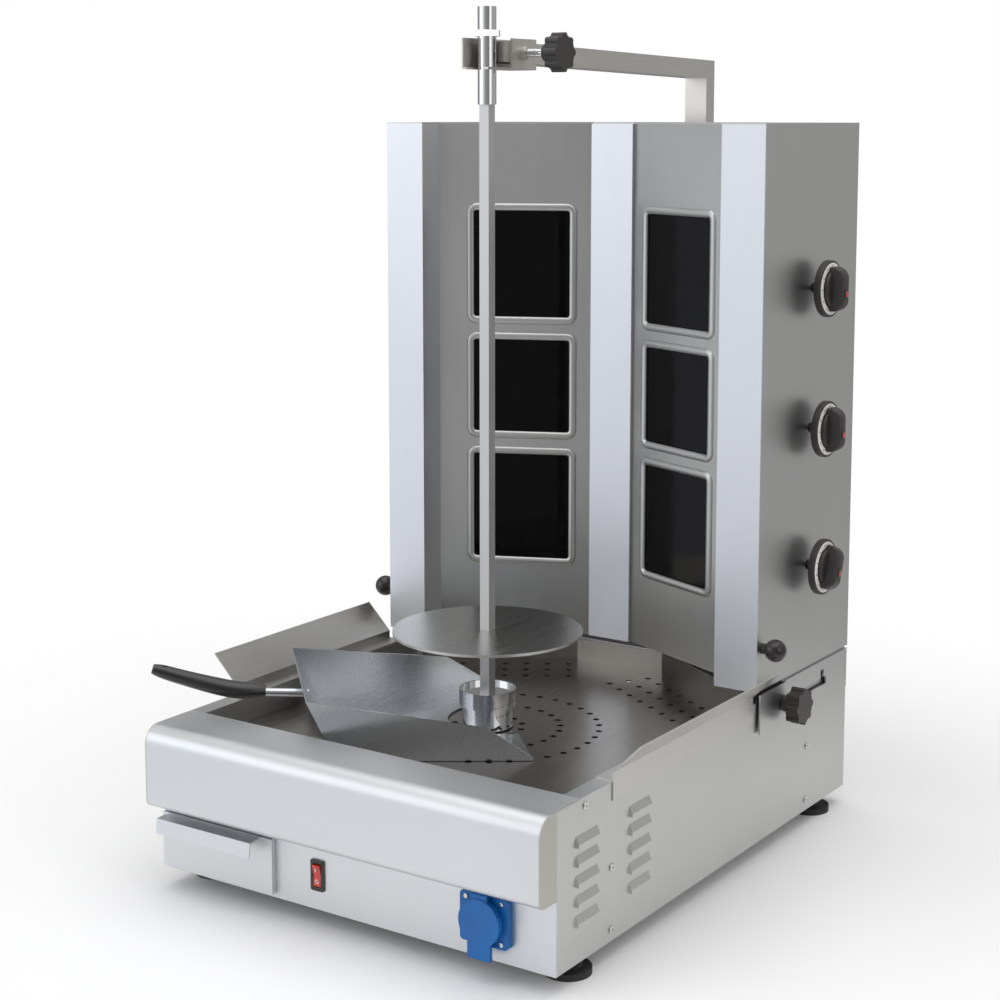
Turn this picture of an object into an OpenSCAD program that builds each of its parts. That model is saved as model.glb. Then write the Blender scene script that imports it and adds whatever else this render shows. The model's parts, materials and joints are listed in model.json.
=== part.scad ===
// Electric vertical spit grill: a base with a tray, and a heater tower that slides on it.
// X runs across, the front faces -Y, and Z is up from the floor. Places are measured from
// the spit axis and then moved so that the origin is the middle of the footprint.

/* [Base] */
// Width of the base across its side walls
base_w = 500; // [420:10:620]
// Depth of the base from the front panel to the back wall
base_d = 650; // [560:10:780]
// Height of the base top above the floor
base_h = 183; // [165:1:225]
// Height of the feet under the base
foot_h = 20; // [14:1:30]
// Diameter of a foot
foot_d = 48; // [36:1:60]
// Thickness of the casing sheet
sheet = 1.5; // [1:0.1:2]
// How far the rim stands out in front of the front panel
rim_out = 30; // [20:1:45]
// Height of the front rim
rim_h = 88; // [70:1:100]
// Radius of the upper front edge of the rim
rim_r = 19; // [10:1:25]
// Width of the side ledges beside the tray
ledge_w = 20; // [15:1:30]
// Depth of the tray below the base top
tray_depth = 28; // [20:1:40]

/* [Spit] */
// Distance from the front panel to the spit axis
spit_y = 250; // [220:5:280]
// Width of the square spit bar
bar_w = 12; // [8:0.5:16]
// Diameter of the meat plate
plate_d = 210; // [150:5:260]
// Height of the meat plate above the floor
plate_z = 262; // [240:1:300]
// Outer diameter of the cup collar
cup_d = 63; // [50:1:72]
// Diameter of the chrome sleeve at the top of the spit
sleeve_d = 20; // [16:1:26]

/* [Tower] */
// Height of the heater tower
tower_h = 623; // [500:1:760]
// Depth of the heater tower
tower_d = 242; // [220:1:300]
// Width of each front post
post_w = 52.5; // [40:0.5:62]
// Depth of the return on each front post
post_return = 35; // [25:1:50]
// Width of the centre post
centre_w = 56; // [40:1:80]
// Distance from the post face back to the centre post face
vee_d = 109; // [80:1:130]
// Gap between two window frames
window_gap = 11; // [6:1:20]
// How much lower the middle window is than the others
middle_drop = 16; // [0:1:24]
// How far the tower slides towards the spit
tower_travel = 60; // [30:1:70]

/* [Controls] */
// Diameter of the skirt of a control knob
knob_d = 64; // [44:1:70]
// Height of the lowest control knob above the floor
knob_low_z = 317; // [290:1:350]
// Distance between two control knobs
knob_step = 159; // [120:1:190]
// Diameter of the star knobs
star_d = 42; // [32:1:50]
// Diameter of the ball knobs
ball_d = 25; // [18:1:32]

/* [Drawer] */
// Width of the drawer front
drawer_w = 153; // [120:1:180]
// Height of the drawer front
drawer_h = 59; // [45:1:64]
// Depth of the drawer
drawer_d = 300; // [200:5:340]

/* [Hidden] */
$fn = 48;
e = 1;

// Clearances
fit = 0.5;
running = 0.05;

// Base
side_x = base_w / 2;
front_y = -spit_y;
back_y = base_d - spit_y;
floor_z = base_h - tray_depth;
well_x = side_x - ledge_w;
rim_front_y = front_y - rim_out;
rim_back_y = front_y + 43;
rim_low_z = base_h - rim_h;

// Tower
tower_z = base_h + 13;
tower_top_z = tower_z + tower_h;
tower_x = side_x + 2.5;
tower_back_y = back_y - 3;
tower_front_y = tower_back_y - tower_d;
post_in_x = tower_x - post_w;
vee_y = tower_front_y + post_return;
centre_x = centre_w / 2;
centre_y = tower_front_y + vee_d;
vee_run = [post_in_x - centre_x, centre_y - vee_y];
panel_len = norm(vee_run);
panel_turn = atan2(vee_run[1], vee_run[0]);

// Windows
frame_w = 8.4;
frame_rise = 2.8;
window_out = 34;
window_in = 19.3;
window_low = 85;
window_high = 96.5;
window_w = panel_len - window_out - window_in - 2 * frame_w;
stack_h = tower_h - window_low - window_high;
outer_h = (stack_h - 2 * window_gap + middle_drop) / 3;
middle_h = outer_h - middle_drop;
frame_low_z = [
    window_low,
    window_low + outer_h + window_gap,
    window_low + outer_h + middle_h + 2 * window_gap
];
frame_high = [outer_h, middle_h, outer_h];
glass_r = 3.5;
glass_t = 4;
glass_lap = 7;

// Arm
arm_gap = 68;
post_x = 30;
post_y = 21;
tube_wall = 2;
beam_h = 22;
beam_drop = 1.27;
arm_front_y = 13;
arm_post_y = tower_back_y + arm_gap;
arm_back_y = arm_post_y + post_y;
beam_top_z = tower_top_z + 87;
holder_y = 45;
holder_z = beam_top_z - 12;
bracket_t = 3;

// Frame shift to the middle of the footprint
model_back_y = arm_back_y + bracket_t;
frame_y = -(rim_front_y + model_back_y) / 2;

// Controls
knob_y = tower_back_y - 117;
knob_gap = 15;
skirt_t = 8;
grip_w = 18;
knob_reach = 27;
clamp_y = back_y - 180;
clamp_z = base_h - 14;
hang_t = 2;

// Front panel parts
drawer_x = -side_x + 79;
drawer_z = foot_h + 5 + drawer_h / 2;
rocker_x = -38;
rocker_z = foot_h + 37;
rocker_w = 17;
rocker_h = 33;
socket_x = 173;
socket_z = foot_h + 42;
socket_w = 56;
socket_h = 50;
lid_d = 47;
recess_d = 38;

// Drive
shaft_d = 16;
motor_d = 60;
gear_size = [90, 70, 45];
gear_z = foot_h + 14;

// Cable inlet
inlet_x = -150;
inlet_z = foot_h + 50;

// Scoop
scoop_turn = 44;
scoop_at = [-141, -110];
scoop_back = 112;
scoop_front = 146;
scoop_l = 205;
scoop_back_h = 64;
scoop_front_h = 36;
scoop_lean = 30;
scoop_cut = 50;
scoop_t = 1.5;
notch_r = 58.5;
notch_at = 195;

steel = [0.72, 0.73, 0.74];
bright = [0.86, 0.87, 0.9];
mirror_steel = [0.82, 0.82, 0.82];
black = [0.06, 0.06, 0.06];
beige = [0.7, 0.69, 0.64];

module placed() translate([0, frame_y, 0]) children();

// A box from its lowest to its highest corner
module span(low, high) translate(low) cube(high - low);

// The same shape on both sides
module both() {
    children();
    mirror([1, 0, 0]) children();
}

// An upright rod along X from x0 to x1
module rod_x(x0, x1, y, z, d) translate([x0, y, z]) rotate([0, 90, 0]) cylinder(d = d, h = x1 - x0);

// A rod along Y from y0 to y1
module rod_y(x, y0, y1, z, d) translate([x, y0, z]) rotate([-90, 0, 0]) cylinder(d = d, h = y1 - y0);

// A flat rounded rectangle with its low corner at the origin
module rounded(w, h, r) {
    translate([r, 0]) square([w - 2 * r, h]);
    translate([0, r]) square([w, h - 2 * r]);
    for (x = [r, w - r], y = [r, h - r]) translate([x, y]) circle(r);
}

// ---------- base casing ----------

louvre_w = 39;
louvre_h = 14;
louvre_out = 3.5;
louvre_y = [front_y + 33.5, front_y + 134.5];
louvre_z = [for (z = [37, 57, 77, 97, 116]) foot_h + z];

// A side view of a louvre hood, x out from the wall and y up, put on the right wall
module louvre_part(y, z, w, outline) translate([side_x, y + w, z]) rotate([90, 0, 0])
    linear_extrude(w) polygon(outline);

// One pressed louvre hood, open below
module louvre_hood(y, z) {
    root = -sheet / 2;
    tip = louvre_out;
    louvre_part(y, z, louvre_w, [
        [root, louvre_h], [tip, 4], [tip, 0.5], [tip - 1.2, 0.5], [tip - 1.2, 3.4], [root, louvre_h - 2.3]
    ]);
    for (end = [y, y + louvre_w - 1.2]) louvre_part(end, z, 1.2, [
        [root, louvre_h], [tip, 4], [tip, 0.5], [root, 0.5]
    ]);
}

module louvre_slot(y, z)
    span([side_x - sheet - e, y + 1.6, z + 1], [side_x + e, y + louvre_w - 1.6, z + 7]);

module side_wall() {
    difference() {
        span([side_x - sheet, front_y, foot_h], [side_x, back_y, base_h - sheet]);
        for (y = louvre_y, z = louvre_z) louvre_slot(y, z);
        rod_x(side_x - sheet - e, side_x + e, clamp_y, clamp_z, 8.2);
    }
    for (y = louvre_y, z = louvre_z) louvre_hood(y, z);
}

module base_shell() color(steel) placed() difference() {
    union() {
        both() side_wall();
        span([-side_x, back_y - sheet, foot_h], [side_x, back_y, base_h - sheet]);
    }
    rod_y(inlet_x, back_y - sheet - e, back_y + e, inlet_z, 20);
    for (x = [-60 : 24 : 180], z = [foot_h + 75, foot_h + 95]) {
        span([x, back_y - sheet - e, z], [x + 14, back_y + e, z + 5]);
    }
}

module bottom_plate() color(steel) placed() difference() {
    span([-side_x + sheet, front_y + sheet, foot_h], [side_x - sheet, back_y - sheet, foot_h + sheet]);
    for (x = [-120 : 40 : 120], y = [back_y - 280 : 40 : back_y - 120]) {
        translate([x, y, foot_h - e]) cylinder(d = 8, h = sheet + 2 * e, $fn = 24);
    }
}

module front_panel() color(bright) placed() difference() {
    span([-side_x, front_y - sheet, foot_h], [side_x, front_y, rim_low_z - fit]);
    span([drawer_x - drawer_w / 2 + 6, front_y - sheet - e, drawer_z - drawer_h / 2 + 4],
        [drawer_x + drawer_w / 2 - 6, front_y + e, drawer_z + drawer_h / 2 - 4]);
    span([rocker_x - rocker_w / 2 + 2, front_y - sheet - e, rocker_z - rocker_h / 2 + 2],
        [rocker_x + rocker_w / 2 - 2, front_y + e, rocker_z + rocker_h / 2 - 2]);
    rod_y(socket_x, front_y - sheet - e, front_y + e, socket_z, recess_d + 4);
}

// Side view of the rim: y to the right, z up
module rim_outline(inset) {
    low = rim_low_z + inset;
    high = base_h - inset;
    front = rim_front_y + inset;
    back = rim_back_y;
    r = rim_r - inset;
    r2 = 8 - inset;
    translate([front + r, low + r2]) square([back - front - r, high - low - r2]);
    translate([front + r2, low]) square([back - front - r2, high - low - r]);
    translate([front, low + r2]) square([back - front, high - low - r - r2]);
    translate([front + r, high - r]) circle(r);
    translate([front + r2, low + r2]) circle(r2);
}

module along_x(w) rotate([90, 0, 90]) translate([0, 0, -w / 2]) linear_extrude(w) children();

module front_rim() color(bright) placed() along_x(base_w - 2 * sheet) difference() {
    rim_outline(0);
    rim_outline(sheet);
    translate([front_y + sheet, rim_low_z - e]) square([60, 20]);
    translate([rim_back_y - e, rim_low_z]) square([2 * e, rim_h - sheet]);
}

module rim_ends() color(beige) placed() both() translate([side_x - sheet, 0, 0])
    rotate([90, 0, 90]) linear_extrude(sheet) difference() {
        rim_outline(0);
        translate([front_y, rim_low_z - e]) square([60, rim_h - sheet + e]);
    }

// The tray outline: back corners run beside the tower panels
tray_back_y = centre_y + 24;
tray_corner_y = tray_back_y - 107;
tray_flat_x = 60;

module tray_outline(inset) {
    x = well_x - inset;
    polygon([
        [-x, rim_back_y + inset], [x, rim_back_y + inset], [x, tray_corner_y - inset],
        [tray_flat_x, tray_back_y - inset], [-tray_flat_x, tray_back_y - inset],
        [-x, tray_corner_y - inset]
    ]);
}

module top_deck() color(steel) placed() {
    translate([0, 0, base_h - sheet]) linear_extrude(sheet) difference() {
        translate([-side_x, rim_back_y]) square([base_w, back_y - rim_back_y]);
        tray_outline(0);
    }
    translate([0, 0, floor_z - 3]) linear_extrude(tray_depth + 3 - sheet) difference() {
        tray_outline(-sheet);
        tray_outline(0);
    }
    translate([0, 0, floor_z - 3]) linear_extrude(sheet) difference() {
        tray_outline(-sheet);
        tray_outline(12);
        circle(r = 40);
    }
}

// ---------- perforated plate ----------

hole_d = 7.2;
ring_r = [39, 81, 124];
ring_n = [12, 26, 36];
corner_run = [well_x - tray_flat_x, tray_corner_y - tray_back_y];

module corner_holes() {
    way = corner_run / norm(corner_run);
    inward = [way[1], -way[0]];
    for (row = [0 : 2], i = [0 : 6]) {
        p = [tray_flat_x, tray_back_y] + way * (12 + 26 * i) + inward * (26 + 26 * row);
        if (norm(p) > ring_r[2] + 14 && p[0] < well_x - 14) {
            translate(p) circle(d = hole_d, $fn = 24);
        }
    }
}

module plate_holes() {
    for (k = [0 : 2], i = [0 : ring_n[k] - 1]) {
        rotate(360 * (i + 0.5) / ring_n[k]) translate([ring_r[k], 0]) circle(d = hole_d, $fn = 24);
    }
    corner_holes();
    mirror([1, 0]) corner_holes();
    circle(d = 50);
}

module perforated_plate() color(steel) placed() {
    translate([0, 0, floor_z - sheet]) linear_extrude(sheet) difference() {
        tray_outline(fit);
        plate_holes();
    }
    translate([0, 0, floor_z]) linear_extrude(tray_depth - 2) difference() {
        tray_outline(fit);
        tray_outline(fit + sheet);
        translate([-side_x, rim_back_y - e]) square([base_w, tray_corner_y - rim_back_y + 4]);
    }
}

// Sloped pan below the plate that leads the fat to the drawer
funnel_z = floor_z - 34;
funnel_back_y = 140;

module fat_funnel() color(steel) placed() difference() {
    span([-well_x + 8, rim_back_y + 8, funnel_z], [well_x - 8, funnel_back_y, floor_z - 4]);
    span([-well_x + 8 + sheet, rim_back_y + 8 + sheet, funnel_z + sheet],
        [well_x - 8 - sheet, funnel_back_y - sheet, floor_z]);
    translate([drawer_x, front_y + 90, funnel_z - e]) cylinder(d = 40, h = 10);
    translate([0, 0, funnel_z - e]) cylinder(d = 54, h = 10);
}

// ---------- side guards ----------

guard_t = 1.3;
guard_l = 300;
guard_y = tower_front_y - 5;
lean_z = base_h + 10;
guard_plate = 45;

// Cross-section of the right guard: x out, z up
module guard_section() {
    translate([side_x + 0.1, base_h - 19]) square([guard_t, 19 + 0.1 + guard_t]);
    translate([well_x + 1, base_h + 0.1]) square([ledge_w - 1, guard_t]);
    translate([side_x + 0.1, base_h + 0.1]) square([guard_t, lean_z - base_h]);
    translate([side_x + 0.1, lean_z - 0.1]) rotate(-45) square([guard_t, guard_plate]);
}

module guard_solid(front) rotate([90, 0, 0]) translate([0, 0, -guard_y])
    linear_extrude(front) guard_section();

// Slanting cutter for the front corner of the leaning plate
module corner_cut(size) translate([side_x + 10, guard_y - guard_l - e, lean_z])
    rotate([0, 45, 0]) translate([-20, 0, guard_plate]) rotate([0, 90, 0])
        linear_extrude(40) polygon([[-size, -e], [4, -e], [4, size + e], [0, size + e]]);

module guard_right() color(steel) placed() difference() {
    guard_solid(guard_l);
    corner_cut(34);
}

module guard_left() color(steel) placed() mirror([1, 0, 0]) difference() {
    guard_solid(guard_l - 16);
    translate([0, 16, 0]) corner_cut(7);
}

// ---------- feet and screws ----------

module foot() {
    cylinder(d = foot_d, h = 7);
    translate([0, 0, 7]) cylinder(d = foot_d * 0.62, h = foot_h - 7);
}

module feet() color(black) placed() both() for (y = [front_y + 55, back_y - 50]) {
    translate([side_x - 22, y, 0]) foot();
}

// Side screws: place along the wall and height
screw_at = [
    [front_y + 50, base_h - 9], [front_y + 100, foot_h + 76], [front_y + 100, foot_h + 12],
    [back_y - 107, foot_h + 78], [back_y - 107, foot_h + 13]
];

module screw_x(y, z) rod_x(side_x, side_x + 1.6, y, z, 8);

module casing_screws() color(steel) placed() {
    both() for (p = screw_at) screw_x(p[0], p[1]);
    for (x = [-20.5, 20.5], z = [-20, 20]) if (x > 0 || z > 0) {
        rod_y(socket_x + x, front_y - sheet - 9.6, front_y - sheet - 8, socket_z + z, 5);
    }
}

// ---------- front panel parts ----------

module rocker_bezel() color(black) placed() difference() {
    translate([rocker_x - rocker_w / 2, front_y - sheet, rocker_z - rocker_h / 2])
        rotate([90, 0, 0]) linear_extrude(2) rounded(rocker_w, rocker_h, 2);
    span([rocker_x - 5.2, front_y - sheet - 3, rocker_z - 12.5],
        [rocker_x + 5.2, front_y, rocker_z + 12.5]);
}

module power_rocker() color([0.75, 0.05, 0.04]) placed() {
    translate([rocker_x - 4.8, front_y - sheet, rocker_z]) rotate([90, 0, 90]) linear_extrude(9.6)
        polygon([[0, -11.5], [-2.2, -11.5], [-1.4, 0], [-4.6, 11.5], [0, 11.5]]);
    rod_x(rocker_x - 4.8, rocker_x + 4.8, front_y - sheet, rocker_z, 2.4);
}

module socket_housing() color([0.02, 0.25, 0.62]) placed() difference() {
    union() {
        translate([socket_x - socket_w / 2, front_y - sheet, socket_z - socket_h / 2])
            rotate([90, 0, 0]) linear_extrude(8) rounded(socket_w, socket_h, 4);
        rod_y(socket_x, front_y - sheet - 12, front_y - sheet - 8, socket_z, recess_d + 6);
        rod_y(socket_x, front_y - sheet, front_y + 25, socket_z, recess_d + 3);
    }
    rod_y(socket_x, front_y - sheet - 13, front_y + 20, socket_z, recess_d);
}

module socket_insert() color([0.9, 0.9, 0.88]) placed() difference() {
    rod_y(socket_x, front_y + 4, front_y + 19.5, socket_z, recess_d - 0.6);
    for (x = [-9.5, 9.5]) rod_y(socket_x + x, front_y, front_y + 16, socket_z, 4.8);
}

module socket_lid() color([0.02, 0.28, 0.7]) placed() {
    y = front_y - sheet - 12.3;
    rod_y(socket_x, y - 5, y, socket_z, lid_d);
    span([socket_x - 13, y - 5, socket_z - lid_d / 2 - 13], [socket_x + 13, y, socket_z - 10]);
    span([socket_x - 9, y - 4, socket_z + 12], [socket_x + 9, y, socket_z + lid_d / 2 + 3]);
    rod_x(socket_x - 9, socket_x + 9, y - 2.2, socket_z + lid_d / 2 + 3, 5);
}

drawer_in_w = drawer_w - 16;
drawer_in_h = drawer_h - 14;

module drawer_tray() color(steel) placed() difference() {
    x = drawer_in_w / 2;
    z = drawer_z - drawer_in_h / 2;
    span([drawer_x - x, front_y - sheet - 0.3, z], [drawer_x + x, front_y + drawer_d, z + drawer_in_h]);
    span([drawer_x - x + sheet, front_y, z + sheet],
        [drawer_x + x - sheet, front_y + drawer_d - sheet, z + drawer_in_h + e]);
}

module drawer_front() color(bright) placed() {
    x = drawer_w / 2;
    y = front_y - sheet - 0.3;
    top = drawer_z + drawer_h / 2;
    low = drawer_z - drawer_h / 2;
    difference() {
        span([drawer_x - x, y - 6, low], [drawer_x + x, y, top]);
        span([drawer_x - x + sheet, y - 6 + sheet, low + sheet],
            [drawer_x + x - sheet, y - sheet, top + e]);
    }
    translate([drawer_x - x + 8, 0, 0]) rotate([90, 0, 90]) linear_extrude(drawer_w - 22)
        polygon([[y - 6, top - 1.5], [y - 6, top], [y - 24, top - 1], [y - 26, top - 17],
            [y - 24.6, top - 17], [y - 22.8, top - 2.4]]);
}

module drawer_runners() color(steel) placed() {
    z = drawer_z - drawer_in_h / 2;
    for (s = [-1, 1]) translate([drawer_x + s * (drawer_in_w / 2 + 3), 0, 0]) {
        span([-2, front_y + 4, z - 2.5], [2, front_y + drawer_d, z + 8]);
    }
    span([drawer_x - drawer_in_w / 2 - 5, front_y + 60, z - 2.5],
        [drawer_x + drawer_in_w / 2 + 5, front_y + 80, z - 1]);
}

// ---------- drive ----------

module drive_motor() color(black) placed()
    rod_y(20, gear_size[1] / 2 + 0.2, gear_size[1] / 2 + 90, gear_z + gear_size[2] / 2, motor_d * 0.7);

module gearbox() color([0.55, 0.56, 0.58]) placed() difference() {
    union() {
        translate([0, 0, gear_z + gear_size[2] / 2]) cube(gear_size, center = true);
        for (x = [-35, 35]) translate([x, 0, foot_h + sheet])
            cylinder(d = 12, h = gear_z - foot_h - sheet + 1);
    }
    translate([0, 0, gear_z + 6]) cylinder(r = shaft_d / 2 + running, h = gear_size[2]);
}

bearing_low = floor_z - 32;

module spit_bearing() color([0.6, 0.6, 0.6]) placed() difference() {
    union() {
        translate([0, 0, bearing_low]) cylinder(d = 48, h = 28);
        translate([0, 0, funnel_z + sheet]) cylinder(d = 66, h = 3);
    }
    translate([0, 0, bearing_low - e]) cylinder(r = shaft_d / 2 + running, h = 40);
}

module drive_shaft() color(steel) placed()
    translate([0, 0, gear_z + 6.5]) cylinder(d = shaft_d, h = floor_z + 2 - gear_z - 6.5);

cup_low_z = floor_z + 1.5;
cup_top_z = base_h + 16;
collar_h = 18;

module spit_cup() color(mirror_steel) placed() difference() {
    union() {
        translate([0, 0, cup_low_z]) cylinder(d = cup_d - 7, h = cup_top_z - collar_h - cup_low_z);
        translate([0, 0, cup_top_z - collar_h]) cylinder(d = cup_d, h = collar_h);
    }
    translate([0, 0, cup_top_z - 4]) cylinder(d = cup_d - 5, h = 5);
    translate([-bar_w / 2 - 0.2, -bar_w / 2 - 0.2, cup_top_z - 14])
        cube([bar_w + 0.4, bar_w + 0.4, 30]);
    translate([0, 0, cup_low_z - e]) cylinder(d = shaft_d, h = floor_z + 2 - cup_low_z + e);
}

sleeve_low_z = tower_top_z + 20;
sleeve_top_z = tower_top_z + 123;

module spit_bar() color(mirror_steel) placed()
    translate([-bar_w / 2, -bar_w / 2, cup_top_z - 14])
        cube([bar_w, bar_w, sleeve_low_z + 20 - cup_top_z + 14]);

module meat_plate() color(mirror_steel) placed() difference() {
    union() {
        translate([0, 0, plate_z]) cylinder(d = plate_d, h = 3, $fn = 96);
        translate([0, 0, plate_z - 8]) cylinder(d = 26, h = 8);
    }
    translate([-bar_w / 2, -bar_w / 2, plate_z - 10]) cube([bar_w, bar_w, 20]);
}

module spit_sleeve() color(mirror_steel) placed() difference() {
    union() {
        translate([0, 0, sleeve_low_z]) cylinder(d = sleeve_d, h = sleeve_top_z - sleeve_low_z);
        translate([0, 0, holder_z + 16.6]) cylinder(d = 31, h = 6.7, $fn = 6);
    }
    translate([-bar_w / 2, -bar_w / 2, sleeve_low_z - e]) cube([bar_w, bar_w, 21]);
}

// ---------- arm ----------

module arm_bracket() color(steel) placed() {
    for (z = [60, 130]) difference() {
        span([-30, back_y, z], [30, arm_back_y + bracket_t, z + 30]);
        span([-30 + bracket_t, back_y + bracket_t, z - e],
            [30 - bracket_t, arm_post_y - bracket_t, z + 31]);
        span([-post_x / 2, arm_post_y, z - e], [post_x / 2, arm_back_y, z + 31]);
    }
}

beam_run = arm_post_y + post_y - arm_front_y;
beam_back_z = beam_top_z - beam_run * tan(beam_drop);

module arm_post() color(steel) placed() difference() {
    span([-post_x / 2, arm_post_y, 55], [post_x / 2, arm_back_y, beam_back_z - beam_h]);
    span([-post_x / 2 + tube_wall, arm_post_y + tube_wall, 54],
        [post_x / 2 - tube_wall, arm_back_y - tube_wall, beam_back_z + e]);
}

module arm_beam() color(steel) placed() difference() {
    rotate([90, 0, 90]) translate([0, 0, -post_x / 2]) linear_extrude(post_x) polygon([
        [arm_front_y, beam_top_z], [arm_front_y, beam_top_z - beam_h],
        [arm_post_y, beam_back_z - beam_h], [arm_back_y, beam_back_z - beam_h],
        [arm_back_y, beam_back_z]
    ]);
    rotate([90, 0, 90]) translate([0, 0, -post_x / 2 + tube_wall])
        linear_extrude(post_x - 2 * tube_wall) polygon([
            [arm_front_y + tube_wall, beam_top_z - tube_wall],
            [arm_front_y + tube_wall, beam_top_z - beam_h + tube_wall],
            [arm_back_y - tube_wall, beam_back_z - beam_h + tube_wall],
            [arm_back_y - tube_wall, beam_back_z - tube_wall]
        ]);
}

cheek_x = post_x / 2;

module spit_holder() color(steel) placed() difference() {
    union() {
        span([-cheek_x - 2, -23, holder_z - 16], [-cheek_x, 70, holder_z + 15]);
        span([cheek_x, holder_y - 23, holder_z - 16], [cheek_x + 2, holder_y + 25, holder_z + 15]);
        span([-cheek_x - 2, -23, holder_z - 18], [cheek_x + 2, 70, holder_z - 16]);
        rod_x(cheek_x + 2, cheek_x + 8, holder_y, holder_z, 14);
    }
    span([-sleeve_d / 2 - fit, -24, holder_z - 19], [sleeve_d / 2 + fit, 0, holder_z - 15]);
    translate([0, 0, holder_z - 19]) cylinder(r = sleeve_d / 2 + fit, h = 5);
    rod_x(cheek_x - 1, cheek_x + 9, holder_y, holder_z, 8.1);
}

// A knob with round lobes, its axis along X and its back at x
module star_knob(x, y, z) translate([x, y, z]) rotate([0, 90, 0]) {
    cylinder(d = star_d * 0.45, h = 10);
    translate([0, 0, 9]) linear_extrude(16) {
        circle(d = star_d * 0.86);
        for (a = [0 : 45 : 315]) rotate(a) translate([star_d * 0.4, 0]) circle(d = star_d * 0.2, $fn = 24);
    }
}

arm_knob_x = cheek_x + 30;

module arm_knob() color(black) placed() {
    star_knob(arm_knob_x, holder_y, holder_z);
    rod_x(cheek_x + 1.5, arm_knob_x + 1, holder_y, holder_z, 8);
}

clamp_x = tower_x + hang_t + 2;

module clamp_knob() {
    star_knob(clamp_x, clamp_y, clamp_z);
    rod_x(side_x - 8, clamp_x + 1, clamp_y, clamp_z, 8);
}

module clamp_knob_right() color(black) placed() clamp_knob();
module clamp_knob_left() color(black) placed() mirror([1, 0, 0]) clamp_knob();

// ---------- inlet ----------

module cable_gland() color(black) placed() difference() {
    union() {
        rod_y(inlet_x, back_y, back_y + 6, inlet_z, 26);
        rod_y(inlet_x, back_y - 14, back_y + 18, inlet_z, 19.6);
    }
    rod_y(inlet_x, back_y - 15, back_y + 19, inlet_z, 9);
}

module terminal_box() color([0.85, 0.83, 0.78]) placed() difference() {
    span([inlet_x - 35, back_y - 75, foot_h + sheet], [inlet_x + 35, back_y - 25, foot_h + 65]);
    span([inlet_x - 33, back_y - 73, foot_h + 4], [inlet_x + 33, back_y - 27, foot_h + 60]);
    rod_y(inlet_x, back_y - 40, back_y - 20, inlet_z, 12);
}

// ---------- tower ----------

module tower_outline() polygon([
    [-tower_x, tower_front_y], [-post_in_x, tower_front_y], [-post_in_x, vee_y],
    [-centre_x, centre_y], [centre_x, centre_y], [post_in_x, vee_y],
    [post_in_x, tower_front_y], [tower_x, tower_front_y],
    [tower_x, tower_back_y], [-tower_x, tower_back_y]
]);

runner_y = tower_back_y - 62;

module tower_shell() color(steel) placed() {
    both() difference() {
        span([tower_x - sheet, tower_front_y + sheet, tower_z],
            [tower_x, tower_back_y, tower_top_z - sheet]);
        for (i = [0 : 2]) rod_x(tower_x - 3, tower_x + e, knob_y, knob_low_z + i * knob_step, 12);
    }
    difference() {
        span([-tower_x, tower_back_y - sheet, tower_z], [tower_x, tower_back_y, tower_top_z - sheet]);
        for (x = [-168 : 28 : 168], z = [tower_z + 60, tower_top_z - 90]) {
            span([x - 9, tower_back_y - 3, z], [x + 9, tower_back_y + e, z + 6]);
            span([x - 9, tower_back_y - 3, z + 20], [x + 9, tower_back_y + e, z + 26]);
        }
    }
    translate([0, 0, tower_z]) linear_extrude(sheet) intersection() {
        tower_outline();
        translate([-tower_x + sheet, tower_front_y + sheet])
            square([2 * (tower_x - sheet), tower_d - 2 * sheet]);
    }
    both() span([150, runner_y, base_h + 0.3], [175, runner_y + 55, tower_z]);
}

module tower_top() color(steel) placed() translate([0, 0, tower_top_z - sheet])
    linear_extrude(sheet) tower_outline();

module front_post() {
    z0 = tower_z + sheet;
    z1 = tower_top_z - sheet;
    span([post_in_x, tower_front_y, tower_z], [tower_x, tower_front_y + sheet, z1]);
    span([post_in_x, tower_front_y + sheet, z0], [post_in_x + sheet, vee_y, z1]);
}

module post_right() color(bright) placed() front_post();
module post_left() color(bright) placed() mirror([1, 0, 0]) front_post();

// The right panel's own frame: x along it from the centre post, y up, z towards the spit
module on_panel() translate([centre_x, centre_y, tower_z]) rotate([0, 0, -panel_turn])
    rotate([90, 0, 0]) children();

// Width and rise of the steps that make up a frame's rounded face
bead_steps = [[frame_w, frame_rise * 0.45], [frame_w - 2.2, frame_rise * 0.8], [frame_w - 5.2, frame_rise]];

// Raised frame round a window w by h
module bead(w, h) for (s = bead_steps) {
    in = (frame_w - s[0]) / 2;
    out = frame_w - in;
    linear_extrude(s[1]) difference() {
        translate([-out, -out]) rounded(w + 2 * out, h + 2 * out, glass_r + out);
        translate([-in, -in]) rounded(w + 2 * in, h + 2 * in, glass_r + in);
    }
}

module panel() on_panel() {
    translate([0, 0, -sheet]) linear_extrude(sheet) difference() {
        translate([0, sheet]) square([panel_len, tower_h - 2 * sheet]);
        for (i = [0 : 2]) translate([window_in + frame_w, frame_low_z[i] + frame_w])
            rounded(window_w, frame_high[i] - 2 * frame_w, glass_r);
    }
    for (i = [0 : 2]) translate([window_in + frame_w, frame_low_z[i] + frame_w, -0.2])
        bead(window_w, frame_high[i] - 2 * frame_w);
}

module panel_cut() difference() {
    panel();
    span([-e, 0, 0], [centre_x, back_y, tower_top_z]);
    span([post_in_x, 0, 0], [tower_x, back_y, tower_top_z]);
}

module panel_right() color(steel) placed() panel_cut();
module panel_left() color(steel) placed() mirror([1, 0, 0]) panel_cut();

module centre_post() color(bright) placed() {
    z1 = tower_top_z - sheet;
    span([-centre_x, centre_y - 4, tower_z], [centre_x, centre_y - 4 + sheet, z1]);
    both() span([centre_x - sheet, centre_y - 4, tower_z + sheet], [centre_x, centre_y + 8, z1]);
}

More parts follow.
